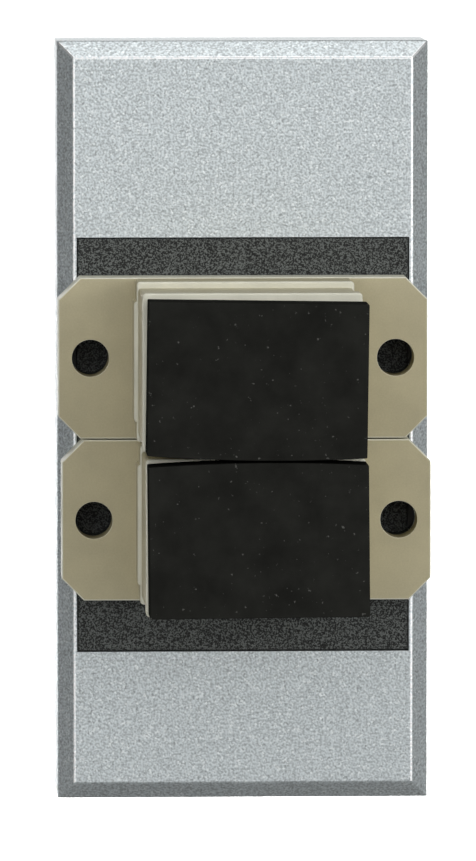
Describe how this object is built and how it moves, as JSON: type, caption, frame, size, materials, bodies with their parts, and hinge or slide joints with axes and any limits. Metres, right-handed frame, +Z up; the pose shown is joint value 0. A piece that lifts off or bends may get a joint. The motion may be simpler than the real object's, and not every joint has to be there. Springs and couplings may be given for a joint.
{
  "type": "fibre optic wall outlet",
  "caption": "Snap-in wall outlet module with a bevelled metallic cover, a dark window and stacked flanged fibre adapters closed by dust caps.",
  "frame": {"origin": "centre of the seat plane, where the rear rim of the cover lies on the support frame", "axes": "+X to the right seen from the front, +Y into the wall, +Z up"},
  "size_m": [0.022, 0.0369, 0.045],
  "materials": {
    "silver_paint": "fine metallic paint, satin",
    "anthracite_plastic": "fine grain",
    "chassis_plastic": "moulded, matt",
    "beige_plastic": "moulded, satin",
    "phosphor_bronze": "drawn",
    "spring_steel": "rolled",
    "black_rubber": "matt, dusty"
  },
  "bodies": {
    "outlet": {"front_cover": "silver_paint", "adapter_plate": "anthracite_plastic", "module_chassis": "chassis_plastic", "upper_front_housing": "beige_plastic", "upper_rear_housing": "beige_plastic", "upper_front_sleeve_holder": "beige_plastic", "upper_rear_sleeve_holder": "beige_plastic", "upper_alignment_sleeve": "phosphor_bronze", "upper_mounting_clip": "spring_steel", "lower_front_housing": "beige_plastic", "lower_rear_housing": "beige_plastic", "lower_front_sleeve_holder": "beige_plastic", "lower_rear_sleeve_holder": "beige_plastic", "lower_alignment_sleeve": "phosphor_bronze", "lower_mounting_clip": "spring_steel"},
    "upper_front_cap": {"upper_front_dust_cap": "black_rubber"},
    "upper_rear_cap": {"upper_rear_dust_cap": "black_rubber"},
    "lower_front_cap": {"lower_front_dust_cap": "black_rubber"},
    "lower_rear_cap": {"lower_rear_dust_cap": "black_rubber"}
  },
  "joints": [
    {"name": "upper_front_cap_pull", "type": "slide", "parent": "outlet", "child": "upper_front_cap", "axis": [0, -1, 0], "range_m": [0, 0.02]},
    {"name": "upper_rear_cap_pull", "type": "slide", "parent": "outlet", "child": "upper_rear_cap", "axis": [0, 1, 0], "range_m": [0, 0.02]},
    {"name": "lower_front_cap_pull", "type": "slide", "parent": "outlet", "child": "lower_front_cap", "axis": [0, -1, 0], "range_m": [0, 0.02]},
    {"name": "lower_rear_cap_pull", "type": "slide", "parent": "outlet", "child": "lower_rear_cap", "axis": [0, 1, 0], "range_m": [0, 0.02]}
  ]
}
